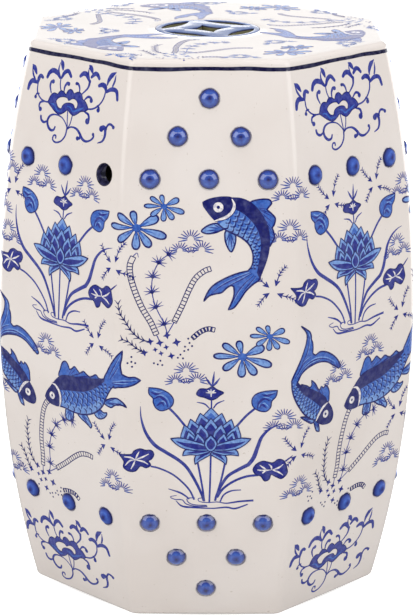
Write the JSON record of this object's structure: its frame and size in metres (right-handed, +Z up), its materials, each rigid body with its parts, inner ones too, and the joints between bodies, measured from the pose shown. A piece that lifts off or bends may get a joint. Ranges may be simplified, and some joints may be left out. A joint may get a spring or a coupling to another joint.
{
  "type": "garden stool",
  "caption": "Eight-sided barrel garden stool of blue and white glazed stoneware, with raised bosses and a seat pierced with a coin as a hand grip; a seat or side table.",
  "frame": {"origin": "centre of the stool's base, on the surface it stands on", "axes": "+Z up along the barrel's axis; the front face, with its triangles of bosses, looks along -Y"},
  "size_m": [0.338, 0.338, 0.457],
  "materials": {
    "white_glaze": "gloss",
    "cobalt_glaze": "gloss",
    "coin_glaze": "gloss",
    "bare_stoneware": "matt, unglazed"
  },
  "bodies": {
    "root": {"wall_panel_front": "white_glaze", "wall_panel_front_right": "white_glaze", "wall_panel_right": "white_glaze", "wall_panel_back_right": "white_glaze", "wall_panel_back": "white_glaze", "wall_panel_back_left": "white_glaze", "wall_panel_left": "white_glaze", "wall_panel_front_left": "white_glaze", "seat_slab": "white_glaze", "coin_medallion": "coin_glaze", "foot_ring": "bare_stoneware", "upper_triangle_tip_bosses": "cobalt_glaze", "upper_triangle_mid_bosses": "cobalt_glaze", "upper_triangle_base_bosses": "cobalt_glaze", "upper_row_bosses": "cobalt_glaze", "lower_row_bosses": "cobalt_glaze", "lower_triangle_base_bosses": "cobalt_glaze", "lower_triangle_mid_bosses": "cobalt_glaze", "lower_triangle_tip_bosses": "cobalt_glaze"}
  },
  "joints": []
}
